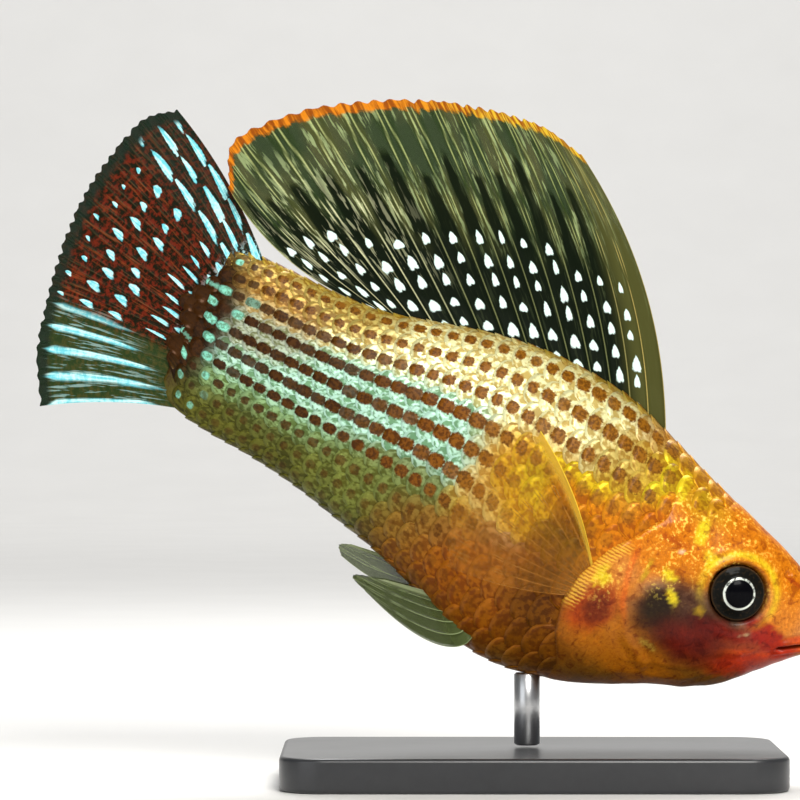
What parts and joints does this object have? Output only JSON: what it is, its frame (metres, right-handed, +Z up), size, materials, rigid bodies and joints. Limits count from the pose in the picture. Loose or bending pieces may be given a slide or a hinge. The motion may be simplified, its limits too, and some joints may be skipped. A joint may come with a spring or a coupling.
{
  "type": "sailfin molly",
  "caption": "Male sailfin molly at life size, swimming nose-down with its spotted sail raised, held over a plain flat stand by a rod.",
  "frame": {"origin": "middle of the stand's underside", "axes": "+X towards the fish's head, +Y towards its left flank, +Z up"},
  "size_m": [0.0914, 0.034, 0.0794],
  "materials": {
    "head": "scaly and wet",
    "scales": "scaly and wet",
    "sail": "thin wet membrane",
    "tail_fin": "thin wet membrane",
    "clear_fin": "thin clear membrane",
    "eye": "glossy",
    "stand": "satin",
    "rod": "brushed"
  },
  "bodies": {
    "root": {"head": "head", "torso": "scales", "tail": "scales", "eye_right": "eye", "eye_left": "eye", "dorsal_fin": "sail", "caudal_fin": "tail_fin", "pectoral_fin_right": "clear_fin", "pectoral_fin_left": "clear_fin", "pelvic_fin_right": "clear_fin", "pelvic_fin_left": "clear_fin", "anal_fin": "clear_fin", "stand_base": "stand", "stand_rod": "rod"}
  },
  "joints": []
}
